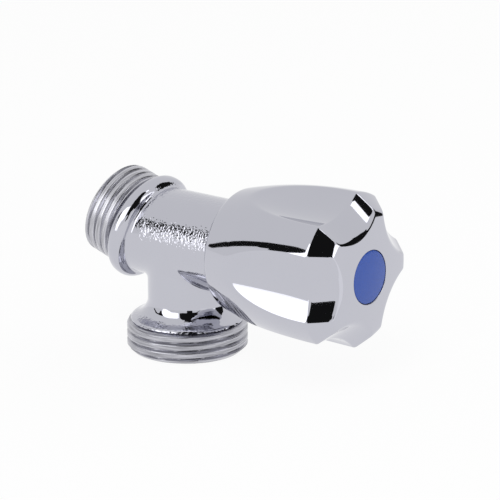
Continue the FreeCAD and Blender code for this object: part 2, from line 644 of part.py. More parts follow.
def nodes():
    """Every sub-part by name, in its place on the valve."""
    inner_ring, outer_ring = spindle_ring_places()
    on_headwork = {
        "bonnet": bonnet(),
        "bonnet_gasket": bonnet_gasket(),
        "piston": piston(),
        "piston_o_ring": piston_o_ring(),
        "seat_washer": seat_washer(),
        "washer_disc": washer_disc(),
        "washer_screw": washer_screw(),
        "spindle": spindle(),
        "inner_o_ring": spindle_o_ring(inner_ring),
        "outer_o_ring": spindle_o_ring(outer_ring),
        "thrust_ring": thrust_ring(),
        "slip_washer": slip_washer(),
        "spindle_circlip": spindle_circlip(),
        "handle_shell": handle_shell(),
        "spline_bush": spline_bush(),
        "lock_washer": lock_washer(),
        "handle_screw": handle_screw(),
        "index_cap": index_cap(),
    }
    placed = {name: on_axis(shape, HEADWORK) for name, shape in on_headwork.items()}
    placed["valve_body"] = valve_body()
    return placed


def main():
    os.makedirs("parts", exist_ok=True)
    for name, shape in nodes().items():
        shape.exportStep("parts/" + name + ".step")
        print(name, len(shape.Solids), shape.isValid(), round(shape.Volume, 1))


main()
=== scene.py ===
"""Looks of the washing machine valve: chromed casting, rolled threads, star handle and blue cap."""
import json
import math

import bmesh
import bpy
import numpy as np
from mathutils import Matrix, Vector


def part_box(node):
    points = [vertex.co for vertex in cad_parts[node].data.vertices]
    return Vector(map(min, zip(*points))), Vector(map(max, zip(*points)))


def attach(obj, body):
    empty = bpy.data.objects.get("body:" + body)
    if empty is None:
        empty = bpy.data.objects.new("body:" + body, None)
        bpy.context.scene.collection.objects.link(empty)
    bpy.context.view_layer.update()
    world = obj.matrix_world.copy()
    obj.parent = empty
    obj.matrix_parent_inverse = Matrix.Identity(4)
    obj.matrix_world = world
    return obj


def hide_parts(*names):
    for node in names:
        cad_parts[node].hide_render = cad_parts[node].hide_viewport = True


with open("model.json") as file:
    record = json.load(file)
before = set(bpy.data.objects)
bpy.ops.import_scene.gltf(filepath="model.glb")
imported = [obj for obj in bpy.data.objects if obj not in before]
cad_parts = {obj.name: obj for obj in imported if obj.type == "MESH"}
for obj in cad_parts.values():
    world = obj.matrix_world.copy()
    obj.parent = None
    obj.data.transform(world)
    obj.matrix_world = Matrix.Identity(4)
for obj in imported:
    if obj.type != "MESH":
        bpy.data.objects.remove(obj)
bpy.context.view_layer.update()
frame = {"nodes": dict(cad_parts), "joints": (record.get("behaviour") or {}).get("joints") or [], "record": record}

import openvdb
from bpy.props import FloatProperty, FloatVectorProperty, IntProperty, PointerProperty
from mathutils import Matrix, Vector

bl_info = {
    "name": "Washing Machine Valve",
    "version": (1, 0, 0),
    "blender": (4, 5, 0),
    "location": "View3D > Sidebar > Valve",
    "description": "Dresses the packed washing machine valve with its casting, threads, handle and cap",
    "category": "Object",
}

MM = 0.001
# Edges bent by more than this stay sharp, and points nearer than this, in metres, are merged
SHARP_ANGLE = math.radians(50)
DOUBLES_DISTANCE = 1e-7
MOUNTS = {mount["name"]: mount for mount in frame["record"]["mounts"]}
HINGE = next(joint for joint in frame["joints"] if joint["name"] == "handle_turn")
HANDLE_AXIS_HEIGHT = HINGE["pos_m"][2]

# The three axes of the valve, each with its local Z along the axis
OUTLET = Matrix.Identity(4)
HEADWORK = Matrix(((1, 0, 0, 0), (0, 0, -1, 0), (0, 1, 0, HANDLE_AXIS_HEIGHT), (0, 0, 0, 1)))
INLET_DIRECTION = Vector(MOUNTS["inlet_thread"]["axis"])
INLET_END = Vector(MOUNTS["inlet_face"]["pos_m"])
INLET_LENGTH = (INLET_END.z - HANDLE_AXIS_HEIGHT) / INLET_DIRECTION.z
INLET_BEND = INLET_END.y - INLET_LENGTH * INLET_DIRECTION.y
INLET = Matrix(((1, 0, 0, 0),
                (0, INLET_DIRECTION.z, INLET_DIRECTION.y, INLET_BEND),
                (0, -INLET_DIRECTION.y, INLET_DIRECTION.z, HANDLE_AXIS_HEIGHT),
                (0, 0, 0, 1)))


def length(name, value, text):
    """A size of the valve, given in millimetres and stored in metres."""
    return FloatProperty(name=name, description=text, default=value * MM, unit="LENGTH",
                         subtype="DISTANCE", precision=5, min=0)


def span(name, start, end, text):
    """Two places on an axis of the valve, given in millimetres and stored in metres."""
    return FloatVectorProperty(name=name, description=text, default=(start * MM, end * MM), size=2,
                               unit="LENGTH")


def colour(name, value, text):
    return FloatVectorProperty(name=name, description=text, default=value, size=3, min=0, max=1,
                               subtype="COLOR")


def factor(name, value, text):
    return FloatProperty(name=name, description=text, default=value, subtype="FACTOR", min=0, max=1)


def watts(name, value, text):
    return FloatProperty(name=name, description=text, default=value, unit="POWER", min=0)


def whole(name, value, least, text):
    return IntProperty(name=name, description=text, default=value, min=least)


class CastingSizes(bpy.types.PropertyGroup):
    """Outside and waterways of the cast body"""
    barrel_radius: length("Barrel radius", 9.85, "Outside of the barrel between handle and collar")
    barrel_front: length("Barrel front", 18.0, "From the outlet's axis to the barrel's front end")
    neck_radius: length("Neck radius", 8.6, "Outside of the neck above the outlet")
    neck_fillet: length("Neck fillet", 1.0, "Cast fillet between the neck and the barrel")
    shoulder_radius: length("Shoulder radius", 12.6, "Outside of the shoulder above the outlet's thread")
    shoulder_top: length("Shoulder top", 7.1, "Height at which the shoulder starts to slope")
    shoulder_round: length("Shoulder round", 0.8, "Rounding of the shoulder's outer edge")
    lower_round: length("Lower round", 0.35, "Rounding of the shoulder's lower edge over the thread")
    flare_height: length("Flare height", 1.6, "Rise of the slope from the shoulder to the neck")
    flare_fillet: length("Flare fillet", 2.4, "Fillet between the slope and the neck")
    collar_radius: length("Collar radius", 12.05, "Outside of the bead behind the inlet's thread")
    collar_start: length("Collar start", 0.6, "From the bend back to the bead's start, along the inlet")
    collar_end: length("Collar end", 3.4, "From the bend out to the bead's end, along the inlet")
    collar_round: length("Collar round", 1.8, "Rounding of the bead's edges")
    collar_fillet: length("Collar fillet", 0.7, "Fillet between the bead and the barrel")
    chamber_radius: length("Chamber radius", 7.4, "Inside of the chamber in front of the seat")
    chamber_back: length("Chamber back", 5.9, "From the outlet's axis back to the chamber's rear wall")
    chamber_front: length("Chamber front", 6.8, "From the outlet's axis to the headwork's thread")
    thread_bore: length("Headwork bore", 8.38, "Radius of the bore that the headwork screws into")
    seat_radius: length("Seat radius", 4.5, "Opening in the seat")
    lip_radius: length("Seat lip radius", 5.7, "Outside of the raised seat")
    lip_place: length("Seat lip place", 3.5, "From the outlet's axis back to the seat's face")
    outlet_bore: length("Outlet bore", 5.5, "Radius of the bore down to the outlet")
    outlet_top: length("Outlet bore top", 18.95, "Height at which the outlet's bore meets the chamber")
    mouth_depth: length("Mouth depth", 6.0, "Depth of the wide mouth in the outlet")
    mouth_cone: length("Mouth cone", 3.0, "Height of the cone between mouth and bore")
    inlet_bore_end: length("Inlet bore end", 0.2, "From the bend to the full inlet bore")
    bore_round: length("Bore round", 0.5, "Rounding where the seat's opening meets the inlet's bore")
    voxel: length("Voxel", 0.3, "Cell of the grid that the casting is meshed on")


class ThreadSizes(bpy.types.PropertyGroup):
    """Both pipe threads"""
    pitch: length("Pitch", 1.814, "Fourteen turns to the inch")
    depth: length("Depth", 0.65, "From crest to root")
    groove: factor("Groove", 0.5, "Share of the pitch that the groove takes")
    row: length("Row", 0.12, "Length of one row of faces along the thread")
    columns: whole("Columns", 192, 24, "Faces around each thread")
    undercut: length("Undercut", 9.3, "Radius of the plain groove behind the inlet's thread")
    undercut_end: length("Undercut end", 4.13, "From the bend to the start of the inlet's thread")
    chamfer: length("Chamfer", 0.5, "Chamfer on the inlet's end")
    outlet_chamfer: length("Outlet chamfer", 1.0, "Chamfer on the outlet's end")
    outlet_length: length("Outlet length", 6.65, "Height of the outlet's thread")
    root_overlap: length("Root overlap", 0.2, "How far a threaded end reaches into the casting")


class HandleSizes(bpy.types.PropertyGroup):
    """Star handle, measured from the outlet's axis along the headwork"""
    lobes: whole("Lobes", 5, 3, "Lobes around the handle")
    rear: length("Rear", 15.0, "Rear rim")
    rear_round: length("Rear round", 1.2, "Rounding of the rear rim")
    radius: length("Radius", 16.93, "Widest radius over a lobe")
    widest: length("Widest", 42.0, "Place of the widest radius")
    bow: length("Bow", 97.0, "Radius of the bell's long bow")
    crease: length("Crease", 43.6, "Edge between the side and the front band")
    rim: length("Rim", 47.6, "Front end of the band over a lobe")
    rim_radius: length("Rim radius", 13.7, "Radius of a lobe at the rim")
    dome: length("Dome", 1.1, "Rise of the front face to its centre")
    rim_round: length("Rim round", 0.7, "Rounding between the band and the face")
    edge_round: length("Edge round", 0.35, "Softness of the edges along flutes and crease")
    flute_radius: length("Flute radius", 15.5, "Hollow of a flute on the side")
    flute_floor: length("Flute floor", 13.8, "Nearest that a flute comes to the handle's axis")
    flute_deepest: length("Flute deepest", 40.0, "Place where a flute is deepest")
    flute_bow: length("Flute bow", 159.0, "Radius of the long bow that a flute runs out on")
    band_crease_radius: length("Band radius at crease", 16.0, "Hollow of the band's flute at the crease")
    band_rim_radius: length("Band radius at rim", 14.0, "Hollow of the band's flute at the rim")
    band_rim_floor: length("Band floor at rim", 10.2, "Nearest that the band's flute comes to the axis")
    skirt_radius: length("Skirt radius", 11.1, "Inside of the skirt at its rim")
    cavity_radius: length("Cavity radius", 12.2, "Inside of the hollow handle")
    cavity_taper: length("Cavity taper", 5.0, "Length of the taper inside the skirt")
    cavity_end: length("Cavity end", 43.0, "End of the hollow")
    boss_radius: length("Boss radius", 7.4, "Boss around the spline bush")
    boss_rear: length("Boss rear", 34.9, "Rear end of the boss")
    socket_radius: length("Socket radius", 6.4, "Socket for the spline bush")
    socket_end: length("Socket end", 41.4, "Front end of the socket")
    screw_hole: length("Screw hole", 2.05, "Radius of the hole for the handle's screw")
    well_floor: length("Well floor", 43.0, "Seat of the handle's screw")
    well_radius: length("Well radius", 4.4, "Well for the screw's head")
    recess_floor: length("Recess floor", 46.3, "Floor of the recess for the cap")
    recess_radius: length("Recess radius", 5.72, "Recess for the cap")
    recess_round: length("Recess round", 0.15, "Rounding of the recess's edge")


class CapSizes(bpy.types.PropertyGroup):
    """Blue cap in the middle of the handle"""
    radius: length("Radius", 5.62, "Outside of the button")
    floor: length("Floor", 46.3, "Underside of the button")
    edge: length("Edge", 48.4, "Top of the button at its edge")
    centre: length("Centre", 48.75, "Top of the button in the middle")
    edge_round: length("Edge round", 0.22, "Rounding of the button's edge")
    skirt_radius: length("Skirt radius", 4.35, "Outside of the spring skirt")
    skirt_wall: length("Skirt wall", 0.5, "Wall of the spring skirt")
    skirt_depth: length("Skirt depth", 1.4, "Length of the spring skirt")
    columns: whole("Columns", 128, 24, "Faces around the cap")


class Finishes(bpy.types.PropertyGroup):
    """Colours and gloss of the visible surfaces"""
    chrome: colour("Chrome", (0.53, 0.533, 0.59), "Reflection colour of the chrome plate")
    # The two threads' chromes are the plate's chrome made darker, the outlet's most: painted shade on the threads
    inlet_chrome: colour("Inlet chrome", (0.50, 0.50, 0.54), "Chrome on the inlet's thread")
    outlet_chrome: colour("Outlet chrome", (0.43, 0.43, 0.47), "Chrome on the outlet's thread")
    streak_contrast: factor("Streak contrast", 0.42, "Lighter and darker streaks along the threads")
    blue: colour("Blue", (0.022, 0.078, 0.39), "Moulded cap")
    brass: colour("Brass", (0.60, 0.42, 0.16), "Bonnet, spindle, piston and spline bush")
    steel: colour("Steel", (0.50, 0.50, 0.51), "Screws, washers and circlip")
    rubber: colour("Rubber", (0.02, 0.02, 0.022), "Seals")
    fibre: colour("Fibre", (0.30, 0.06, 0.04), "Gasket")
    white_plastic: colour("White plastic", (0.75, 0.75, 0.72), "Slip washer and thrust ring")
    handle_roughness: factor("Handle roughness", 0.04, "Blur of reflections on the handle")
    casting_roughness: factor("Casting roughness", 0.05, "Blur of reflections on the casting")
    thread_roughness: factor("Thread roughness", 0.26, "Blur of reflections on the threads")
    skin_scale: FloatProperty(name="Skin scale", description="Grains of cast skin to the metre",
                              default=1700)
    skin_height: length("Skin height", 0.09, "Height of the cast skin's grain")
    skin_along: span("Skin along", 6.8, 5.0, "Where the barrel's skin starts and is full, along Y")
    skin_above: span("Skin above", 20.0, 25.0, "Where the barrel's skin starts and is full, in height")
    frost_across: span("Frost across", -3.0, -7.0, "The same for the skin on the shoulder, along X")
    frost_below: span("Frost below", 9.2, 8.0, "The same for the skin on the shoulder, in height")
    wave_height: length("Wave height", 0.02, "Height of the slow waves left by polishing")
    streak_height: length("Streak height", 0.02, "Height of the tool marks around the threads")
    cap_roughness: factor("Cap roughness", 0.3, "Blur of reflections on the cap")


class StageSettings(bpy.types.PropertyGroup):
    """Floor, light and camera"""
    azimuth: FloatProperty(name="Azimuth", description="Camera's bearing, from -Y towards +X",
                           default=math.radians(-52.048), unit="ROTATION", subtype="ANGLE")
    elevation: FloatProperty(name="Elevation", description="Camera's height angle",
                             default=math.radians(16.705), unit="ROTATION", subtype="ANGLE")
    floor_size: length("Floor size", 1500, "From the middle to each side")
    camera_place: FloatVectorProperty(name="Camera place", description="Where the camera stands", size=3,
                                      default=(-0.36988, -0.30585, 0.16581), unit="LENGTH",
                                      subtype="XYZ")
    lens: FloatProperty(name="Lens", description="Focal length in millimetres", default=166.2)
    key_power: watts("Key power", 3.2, "Soft lamp above the side that the camera sees")
    fill_power: watts("Fill power", 1.6, "Soft lamp beyond the handle")
    lamp_size: length("Lamp size", 500, "Side of each square lamp")
    diffuse_light: factor("Diffuse light", 0.6, "World light on matt surfaces, where 1 is white")
    mirrored_light: factor("Mirrored light", 0.90, "World light in reflections, where 1 is white")
    floor_light: factor("Floor light", 0.92, "Share of the floor's white that keeps no shadow")


def pick(context, name):
    return getattr(context.scene, "valve_" + name)


def new_object(name, mesh):
    piece = bpy.data.objects.new(name, mesh)
    bpy.context.scene.collection.objects.link(piece)
    return piece


def grid_faces(rows, columns, row_loop, column_loop):
    """Corner numbers of the quads between the points of a grid."""
    row = np.arange(rows if row_loop else rows - 1)
    column = np.arange(columns if column_loop else columns - 1)
    r, c = np.meshgrid(row, column, indexing="ij")
    r2, c2 = (r + 1) % rows, (c + 1) % columns
    quads = np.stack([r * columns + c, r * columns + c2, r2 * columns + c2, r2 * columns + c], -1)
    return quads.reshape(-1, 4).tolist()


def mesh_from(name, points, faces):
    mesh = bpy.data.meshes.new(name)
    mesh.from_pydata(np.asarray(points).reshape(-1, 3).tolist(), [], faces)
    mesh.update()
    return mesh


def finish_mesh(mesh):
    """Outward normals, smooth faces and sharp edges."""
    tidy = bmesh.new()
    tidy.from_mesh(mesh)
    bmesh.ops.remove_doubles(tidy, verts=tidy.verts, dist=DOUBLES_DISTANCE)
    bmesh.ops.recalc_face_normals(tidy, faces=tidy.faces)
    if tidy.calc_volume(signed=True) < 0:
        bmesh.ops.reverse_faces(tidy, faces=tidy.faces)
    tidy.to_mesh(mesh)
    tidy.free()
    mesh.shade_smooth()
    mesh.set_sharp_from_angle(angle=SHARP_ANGLE)
    return mesh


def turned_points(profile, columns):
    """Points of a (place, radius) profile turned about local Z, one row per profile point."""
    angle = np.arange(columns) * 2 * math.pi / columns
    place, radius = np.asarray(profile, float).T
    x = radius[:, None] * np.cos(angle)
    y = radius[:, None] * np.sin(angle)
    z = np.repeat(place[:, None], columns, 1)
    return np.stack([x, y, z], -1)


def stretch(start, end, step):
    """Evenly spaced profile points from start up to but without end."""
    start, end = np.asarray(start, float), np.asarray(end, float)
    count = max(1, int(math.ceil(np.abs(end - start).max() / step)))
    share = np.arange(count)[:, None] / count
    return (start + (end - start) * share).tolist()


def around(start, corner, end, share):
    """Where the curve from start to end around a corner has got to at a share of its way."""
    return (1 - share) ** 2 * start + 2 * share * (1 - share) * corner + share ** 2 * end


def domed(top, rise, width, radius):
    """Place of a domed face at a radius, if it drops by the rise from its top out to the width."""
    curve = (width ** 2 + rise ** 2) / (2 * rise)
    return top - curve + np.sqrt(curve ** 2 - radius ** 2)


def rounded(before, corner, after, size, count):
    """Points of a rounded profile corner between two straight neighbours."""
    before, corner, after = (np.asarray(point, float) for point in (before, corner, after))
    start = corner + (before - corner) / np.linalg.norm(before - corner) * size
    end = corner + (after - corner) / np.linalg.norm(after - corner) * size
    share = np.linspace(0, 1, count)[:, None]
    return around(start, corner, end, share).tolist()


def add_node(tree, kind, inputs, **settings):
    """A new node with its settings made and its inputs given as sockets or plain values."""
    node = tree.nodes.new(kind)
    for key, value in settings.items():
        setattr(node, key, value)
    for key, value in inputs.items():
        if isinstance(value, bpy.types.NodeSocket):
            tree.links.new(value, node.inputs[key])
        else:
            node.inputs[key].default_value = value
    return node


def math_node(tree, operation, *inputs):
    return add_node(tree, "ShaderNodeMath", dict(enumerate(inputs)), operation=operation).outputs[0]


def split_axes(tree, vector):
    return add_node(tree, "ShaderNodeSeparateXYZ", {0: vector}).outputs


def join_axes(tree, *parts):
    return add_node(tree, "ShaderNodeCombineXYZ", dict(enumerate(parts))).outputs[0]


def from_axis(tree, x, y):
    """Distance from the Z axis."""
    squares = [math_node(tree, "MULTIPLY", part, part) for part in (x, y)]
    return math_node(tree, "SQRT", math_node(tree, "ADD", *squares))


def bare_tree(owner, shader_kind, output_kind="ShaderNodeOutputMaterial"):
    """The owner's node tree, emptied, with one shader on its output."""
    owner.use_nodes = True
    tree = owner.node_tree
    tree.nodes.clear()
    shader = tree.nodes.new(shader_kind)
    add_node(tree, output_kind, {0: shader.outputs[0]})
    return tree, shader


# Numbers of the Mix node's sockets for colours
MIX_SHARE = 0
MIX_FIRST = 6
MIX_SECOND = 7
MIX_RESULT = 2
# Grains to the metre of the patterns on the finishes
SMEAR_SCALE = 90
WAVE_SCALE = 700
STAIN_SCALE = 160
RING_SCALE = 2600
STREAKS_ACROSS = 160
STREAKS_AWAY = 1500
STREAKS_ALONG = 2400
# Octaves of their noise
PLAIN_DETAIL = 1
FINE_DETAIL = 3
# Shares by which they change a colour
SMEAR_TINT = 0.02
STAIN_TINT = 0.08
GRAIN_TINT = 0.04
# Shares by which they change a roughness
HANDLE_SPREAD = 0.25
CASTING_SPREAD = 0.3
STAIN_SPREAD = 0.2
GRAIN_SPREAD = 0.1
# Tool marks of the turned pieces, their height in metres
RING_WOBBLE = 0.6
RING_HEIGHT = 0.000004
# Roughness of the turned finishes
MACHINED = {"brass": 0.28, "steel": 0.3}
# Roughness, grains to the metre and a grain's height in metres of the hidden moulded finishes
MOULDED = {"rubber": (0.6, 3500, 0.000006), "fibre": (0.8, 2500, 0.00002),
           "white_plastic": (0.45, 3000, 0.000003)}
CAP_GRAINS = 4000
CAP_GRAIN_HEIGHT = 0.0000015


def new_material(name):
    material = bpy.data.materials.new(name)
    tree, shader = bare_tree(material, "ShaderNodeBsdfPrincipled")
    place = tree.nodes.new("ShaderNodeTexCoord").outputs["Object"]
    return material, tree, shader, place


def noise(tree, place, scale, detail):
    inputs = {"Vector": place, "Scale": scale, "Detail": detail}
    return add_node(tree, "ShaderNodeTexNoise", inputs).outputs[0]


def remap(tree, value, low, high):
    """The value's middle half spread from low to high."""
    inputs = {"Value": value, "From Min": 0.25, "From Max": 0.75, "To Min": low, "To Max": high}
    return add_node(tree, "ShaderNodeMapRange", inputs).outputs[0]


def ramp(tree, value, start, end):
    """Nought up to the start, rising smoothly to one at the end."""
    inputs = {"Value": value, "From Min": start, "From Max": end}
    return add_node(tree, "ShaderNodeMapRange", inputs, interpolation_type="SMOOTHSTEP").outputs[0]


def vary_colour(tree, shader, value, base, spread):
    """Gives the shader the base colour, lighter and darker by the given share with the value."""
    dark = (*(channel * (1 - spread) for channel in base), 1)
    pale = (*(min(1, channel * (1 + spread)) for channel in base), 1)
    mix = add_node(tree, "ShaderNodeMix", {
        MIX_SHARE: value, MIX_FIRST: dark, MIX_SECOND: pale}, data_type="RGBA")
    tree.links.new(mix.outputs[MIX_RESULT], shader.inputs["Base Color"])


def vary_roughness(tree, shader, value, roughness, spread):
    varied = remap(tree, value, roughness * (1 - spread), roughness * (1 + spread))
    tree.links.new(varied, shader.inputs["Roughness"])


def bump(tree, shader, height, distance):
    """Relief on the shader, over the relief that it has already."""
    normal = shader.inputs["Normal"]
    inputs = {"Height": height, "Distance": distance}
    if normal.is_linked:
        inputs["Normal"] = normal.links[0].from_socket
    tree.links.new(add_node(tree, "ShaderNodeBump", inputs).outputs[0], normal)


def chrome_plate(name, base, roughness, spread):
    """Chrome with faint smears in its gloss."""
    material, tree, shader, place = new_material(name)
    shader.inputs["Metallic"].default_value = 1
    smear = noise(tree, place, SMEAR_SCALE, FINE_DETAIL)
    vary_colour(tree, shader, smear, base, SMEAR_TINT)
    vary_roughness(tree, shader, smear, roughness, spread)
    return material, tree, shader, place


def cast_chrome(name, look):
    """Chrome over a casting, with cast skin left on the barrel's flanks and low on the shoulder."""
    material, tree, shader, place = chrome_plate(name, look.chrome, look.casting_roughness,
                                                 CASTING_SPREAD)
    across, along, height = split_axes(tree, place)
    barrel = math_node(tree, "MULTIPLY", ramp(tree, along, *look.skin_along),
                       ramp(tree, height, *look.skin_above))
    shoulder = math_node(tree, "MULTIPLY", ramp(tree, across, *look.frost_across),
                         ramp(tree, height, *look.frost_below))
    skin = math_node(tree, "MAXIMUM", barrel, shoulder)
    grain = math_node(tree, "MULTIPLY", noise(tree, place, look.skin_scale, PLAIN_DETAIL), skin)
    bump(tree, shader, noise(tree, place, WAVE_SCALE, PLAIN_DETAIL), look.wave_height)
    bump(tree, shader, grain, look.skin_height)
    return material


def thread_chrome(name, look, base, axis):
    """Chrome over turned threads, streaked and ringed around the given axis, its base colour the plate's chrome
    darkened as painted shade.
    """
    material, tree, shader, place = chrome_plate(name, base, look.thread_roughness, CASTING_SPREAD)
    turned = add_node(tree, "ShaderNodeMapping", {
        "Vector": place, "Location": axis.to_translation(), "Rotation": axis.to_euler()},
        vector_type="TEXTURE")
    across, up, along = split_axes(tree, turned.outputs[0])
    sideways, upwards = (math_node(tree, "MULTIPLY", part, STREAKS_ACROSS) for part in (across, up))
    rings = math_node(tree, "MULTIPLY_ADD", from_axis(tree, across, up), STREAKS_AWAY, upwards)
    lengthwise = math_node(tree, "MULTIPLY", along, STREAKS_ALONG)
    streak = noise(tree, join_axes(tree, sideways, rings, lengthwise), 1, FINE_DETAIL)
    vary_colour(tree, shader, remap(tree, streak, 0, 1), base, look.streak_contrast)
    bump(tree, shader, streak, look.streak_height)
    return material


def moulded(name, base, roughness, grains, grain_height):
    """Moulded plastic, rubber or fibre with a fine grain."""
    material, tree, shader, place = new_material(name)
    grain = noise(tree, place, grains, FINE_DETAIL)
    vary_colour(tree, shader, grain, base, GRAIN_TINT)
    vary_roughness(tree, shader, grain, roughness, GRAIN_SPREAD)
    bump(tree, shader, grain, grain_height)
    return material


def machined(name, base, roughness):
    """Turned metal with fine rings about the headwork's axis."""
    material, tree, shader, place = new_material(name)
    shader.inputs["Metallic"].default_value = 1
    stain = noise(tree, place, STAIN_SCALE, FINE_DETAIL)
    vary_colour(tree, shader, stain, base, STAIN_TINT)
    vary_roughness(tree, shader, stain, roughness, STAIN_SPREAD)
    rings = add_node(tree, "ShaderNodeTexWave", {
        "Vector": place, "Scale": RING_SCALE, "Distortion": RING_WOBBLE}, bands_direction="Y")
    bump(tree, shader, rings.outputs[0], RING_HEIGHT)
    return material


def finish_for(context, name):
    """The material of that name, made when it is first asked for."""
    key = "valve_" + name
    made = bpy.data.materials.get(key)
    if made:
        return made
    look = pick(context, "finishes")
    if name in MACHINED:
        return machined(key, getattr(look, name), MACHINED[name])
    if name in MOULDED:
        return moulded(key, getattr(look, name), *MOULDED[name])
    makers = {
        "blue": lambda: moulded(key, look.blue, look.cap_roughness, CAP_GRAINS, CAP_GRAIN_HEIGHT),
        "handle_chrome": lambda: chrome_plate(key, look.chrome, look.handle_roughness,
                                              HANDLE_SPREAD)[0],
        "casting_chrome": lambda: cast_chrome(key, look),
        # The threads' chromes are darker copies of the plate's chrome: painted shade
        "inlet_chrome": lambda: thread_chrome(key, look, look.inlet_chrome, INLET),
        "outlet_chrome": lambda: thread_chrome(key, look, look.outlet_chrome, OUTLET),
    }
    return makers[name]()


def dress(piece, material):
    piece.data.materials.clear()
    piece.data.materials.append(material)


# Distance fields of the casting, in millimetres and negative inside. A bore that opens into
# another one reaches into it by the overlap, and the grid reaches past the casting by its margin
BORE_OVERLAP = 1
GRID_MARGIN_CELLS = 3
# How often the mesh is moved onto the surface, and the least slope that it reckons with
SETTLE_ROUNDS = 4
LEAST_SLOPE = 0.2


def round_union(a, b, radius):
    """Two shapes joined with a fillet of the given radius."""
    inner = np.hypot(np.maximum(radius - a, 0), np.maximum(radius - b, 0))
    return np.maximum(radius, np.minimum(a, b)) - inner


def round_overlap(a, b, radius):
    """The overlap of two shapes, its edge rounded to the given radius."""
    outer = np.hypot(np.maximum(radius + a, 0), np.maximum(radius + b, 0))
    return np.minimum(-radius, np.maximum(a, b)) + outer


def tube(radius, start, end, place, away):
    """A plain cylinder between two places on an axis, at the given distances from it."""
    return np.maximum(away - radius, np.maximum(start - place, place - end))


def mount_radius(name):
    """Radius of a threaded or bored mount, in millimetres."""
    return MOUNTS[name]["dims"]["r_mm"]


class CastingField:
    """Signed distance from the casting's surface, for points in millimetres."""

    def __init__(self, sizes):
        for key in CastingSizes.__annotations__:
            setattr(self, key, getattr(sizes, key) / MM)
        self.axis_height = HANDLE_AXIS_HEIGHT / MM
        self.bend = INLET_BEND / MM
        self.inlet_bore = mount_radius("inlet_bore")
        self.mouth_radius = mount_radius("outlet_bore")
        thread = MOUNTS["outlet_thread"]
        self.outlet_length = thread["pos_m"][2] / MM + thread["dims"]["length_mm"]

    def distances(self, x, y, z):
        """Distances from the headwork's, outlet's and inlet's axes, and the place along the last."""
        back, up = y - self.bend, z - self.axis_height
        inlet_place = back * INLET_DIRECTION.y + up * INLET_DIRECTION.z
        inlet_height = up * INLET_DIRECTION.y - back * INLET_DIRECTION.z
        return np.hypot(x, up), np.hypot(x, y), np.hypot(x, inlet_height), inlet_place

    def outside(self, x, y, z):
        from_headwork, from_outlet, from_inlet, inlet_place = self.distances(x, y, z)
        collar_middle = (self.collar_end - self.collar_start) / 2
        barrel = np.maximum(from_headwork - self.barrel_radius, -self.barrel_front - y)
        barrel = np.maximum(barrel, inlet_place - collar_middle)
        neck = np.maximum(from_outlet - self.neck_radius, z - self.axis_height)
        slope = math.atan2(self.flare_height, self.shoulder_radius - self.neck_radius)
        cone = (from_outlet - self.shoulder_radius) * math.sin(slope) \
            + (z - self.shoulder_top) * math.cos(slope)
        shoulder = round_overlap(from_outlet - self.shoulder_radius, cone, self.shoulder_round)
        stem = round_union(neck, shoulder, self.flare_fillet)
        body = round_union(barrel, stem, self.neck_fillet)
        body = round_overlap(body, self.outlet_length - z, self.lower_round)
        half = (self.collar_end + self.collar_start) / 2 - self.collar_round
        over = np.abs(inlet_place - collar_middle) - half
        above = from_inlet - (self.collar_radius - self.collar_round)
        bead = np.hypot(np.maximum(over, 0), np.maximum(above, 0)) \
            + np.minimum(np.maximum(over, above), 0) - self.collar_round
        return round_union(body, bead, self.collar_fillet)

    def waterways(self, x, y, z):
        from_headwork, from_outlet, from_inlet, inlet_place = self.distances(x, y, z)
        chamber = tube(self.chamber_radius, -self.chamber_front, self.chamber_back, y, from_headwork)
        lip = tube(self.lip_radius, self.lip_place, self.chamber_back + BORE_OVERLAP, y, from_headwork)
        chamber = np.maximum(chamber, -lip)
        threaded = tube(self.thread_bore, -self.barrel_front - BORE_OVERLAP, -self.chamber_front, y,
                        from_headwork)
        orifice = tube(self.seat_radius, self.lip_place - BORE_OVERLAP,
                       self.bend + self.inlet_bore_end, y, from_headwork)
        back_cone = math.atan2(self.seat_radius / 2, self.inlet_bore)
        wider = from_inlet - self.inlet_bore
        cone = (self.inlet_bore_end - inlet_place) * math.cos(back_cone) + wider * math.sin(back_cone)
        inlet = round_overlap(wider, cone, self.bore_round)
        inlet = round_union(inlet, orifice, self.bore_round)
        bore = tube(self.outlet_bore, 0, self.outlet_top, z, from_outlet)
        mouth = tube(self.mouth_radius, 0, self.mouth_depth, z, from_outlet)
        taper = (self.mouth_radius - self.outlet_bore) / self.mouth_cone
        funnel = np.maximum(from_outlet - self.mouth_radius + taper * (z - self.mouth_depth),
                            z - self.mouth_depth - self.mouth_cone) / math.hypot(1, taper)
        hollow = chamber
        for part in (threaded, inlet, bore, mouth, funnel):
            hollow = np.minimum(hollow, part)
        return hollow

    def __call__(self, points):
        x, y, z = points[..., 0], points[..., 1], points[..., 2]
        return np.maximum(self.outside(x, y, z), -self.waterways(x, y, z))

    def slope(self, points, reach=0.01):
        """Gradient of the field by central differences."""
        parts = []
        for axis in range(3):
            step = np.zeros(3)
            step[axis] = reach
            parts.append((self(points + step) - self(points - step)) / (2 * reach))
        return np.stack(parts, -1)


def settle(points, field, furthest):
    """Points moved along the field's slope onto its surface."""
    settled = points.copy()
    for _ in range(SETTLE_ROUNDS):
        gradient = field.slope(settled)
        steep = np.maximum((gradient ** 2).sum(-1), LEAST_SLOPE)
        move = -(field(settled) / steep)[:, None] * gradient
        settled += np.clip(move, -furthest, furthest)
    return settled


